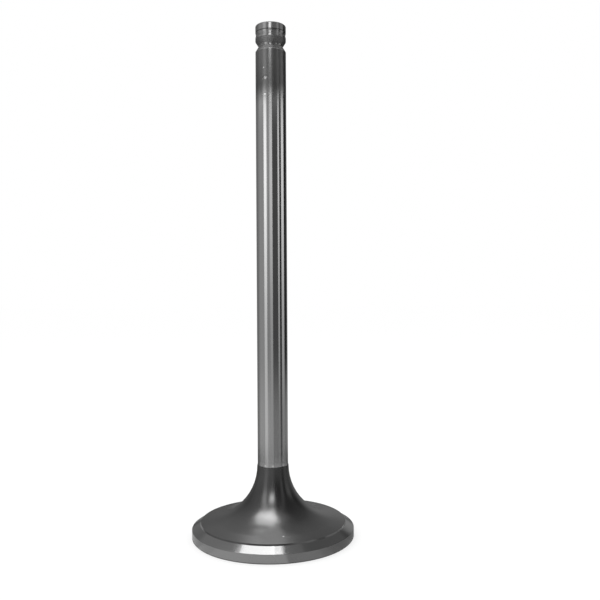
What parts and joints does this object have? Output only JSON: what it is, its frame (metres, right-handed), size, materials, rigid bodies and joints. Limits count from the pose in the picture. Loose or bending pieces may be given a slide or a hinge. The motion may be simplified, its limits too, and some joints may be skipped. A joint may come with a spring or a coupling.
{
  "type": "engine valve",
  "caption": "Steel poppet valve: flat disc head with conical seat and margin, curved neck, long ground stem, and a keeper groove near the tip.",
  "frame": {"origin": "centre of the flat combustion face, on which the valve stands", "axes": "+Z along the stem from the combustion face to the tip; X and Y are free, because the valve is turned"},
  "size_m": [0.0424, 0.0424, 0.1337],
  "materials": {
    "valve_steel": "ground and polished stem, dark satin neck and tip, fine-turned seat, margin and face"
  },
  "bodies": {
    "root": {"valve": "valve_steel"}
  },
  "joints": []
}
